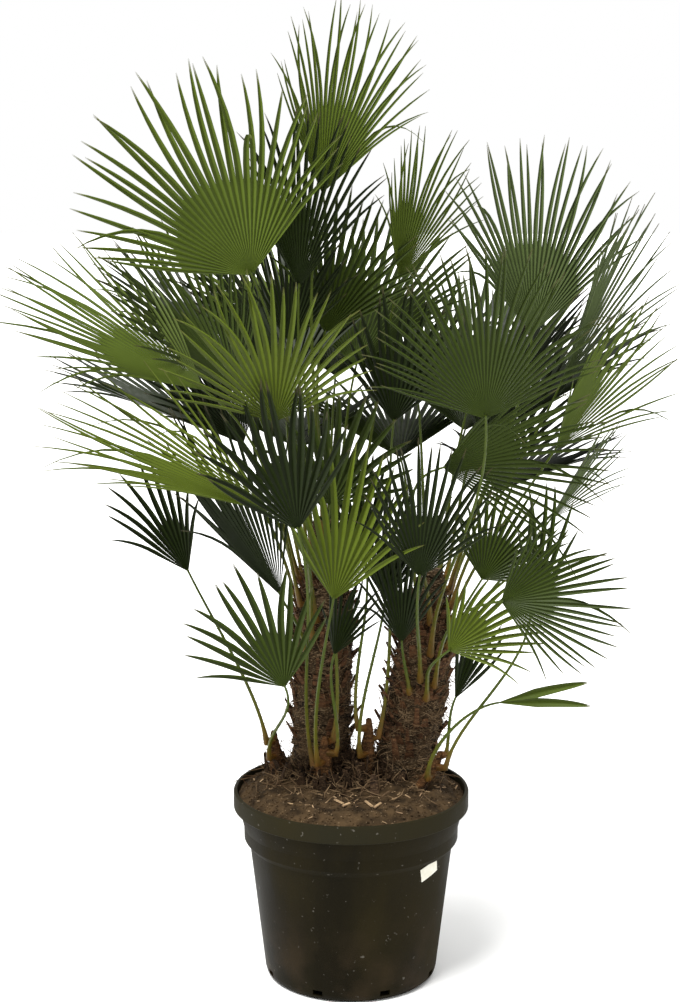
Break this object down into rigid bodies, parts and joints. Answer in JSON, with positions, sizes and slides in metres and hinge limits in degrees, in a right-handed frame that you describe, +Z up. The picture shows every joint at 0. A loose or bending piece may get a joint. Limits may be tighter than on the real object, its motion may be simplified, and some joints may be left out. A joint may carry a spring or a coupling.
{
  "type": "potted european fan palm",
  "caption": "Multi-stemmed fan palm with fan-shaped fronds on slim petioles, standing in a round nursery pot filled with soil.",
  "frame": {"origin": "middle of the pot's flat underside", "axes": "+Z up along the pot's axis, -Y towards the side seen from the front, +X to the right"},
  "size_m": [1.3803, 1.3974, 2.0627],
  "materials": {
    "pot_plastic": "dark grey-brown moulded plastic, dusty, with a paler rim",
    "soil": "loose brown peat with crumbs and pale wood chips",
    "trunk_fibre": "rough brown fibre over old leaf bases",
    "sucker_fibre": "orange-brown young leaf sheaths",
    "leaf": "satin green pleated fan leaves with yellow-green petioles"
  },
  "bodies": {
    "root": {"frond_centre_left": "leaf", "frond_centre_low": "leaf", "frond_centre_right": "leaf", "frond_inner_centre": "leaf", "frond_inner_left": "leaf", "frond_inner_right": "leaf", "frond_left": "leaf", "frond_left_back_1": "leaf", "frond_left_back_2": "leaf", "frond_left_back_3": "leaf", "frond_left_back_4": "leaf", "frond_left_back_5": "leaf", "frond_left_back_6": "leaf", "frond_left_back_7": "leaf", "frond_left_back_8": "leaf", "frond_left_behind": "leaf", "frond_left_inner": "leaf", "frond_left_low": "leaf", "frond_left_under": "leaf", "frond_low_bright": "leaf", "frond_low_inner": "leaf", "frond_low_right": "leaf", "frond_mid_behind": "leaf", "frond_mid_centre": "leaf", "frond_mid_left": "leaf", "frond_mid_right": "leaf", "frond_right": "leaf", "frond_right_back_1": "leaf", "frond_right_back_2": "leaf", "frond_right_back_3": "leaf", "frond_right_back_4": "leaf", "frond_right_back_5": "leaf", "frond_right_back_6": "leaf", "frond_right_back_7": "leaf", "frond_right_level": "leaf", "frond_right_lower": "leaf", "frond_right_upper": "leaf", "frond_sucker_front_short": "leaf", "frond_sucker_front_tall": "leaf", "frond_sucker_left_far": "leaf", "frond_sucker_left_near": "leaf", "frond_sucker_middle_one": "leaf", "frond_sucker_middle_two": "leaf", "frond_sucker_right_low": "leaf", "frond_sucker_right_mid": "leaf", "frond_sucker_right_tall": "leaf", "frond_top_centre": "leaf", "frond_upper_inner": "leaf", "frond_upper_left": "leaf", "frond_upper_middle": "leaf", "frond_upper_right": "leaf", "pot": "pot_plastic", "soil": "soil", "sucker_front": "sucker_fibre", "sucker_left": "sucker_fibre", "sucker_middle": "sucker_fibre", "sucker_right": "sucker_fibre", "trunk_left": "trunk_fibre", "trunk_right": "trunk_fibre"}
  },
  "joints": []
}
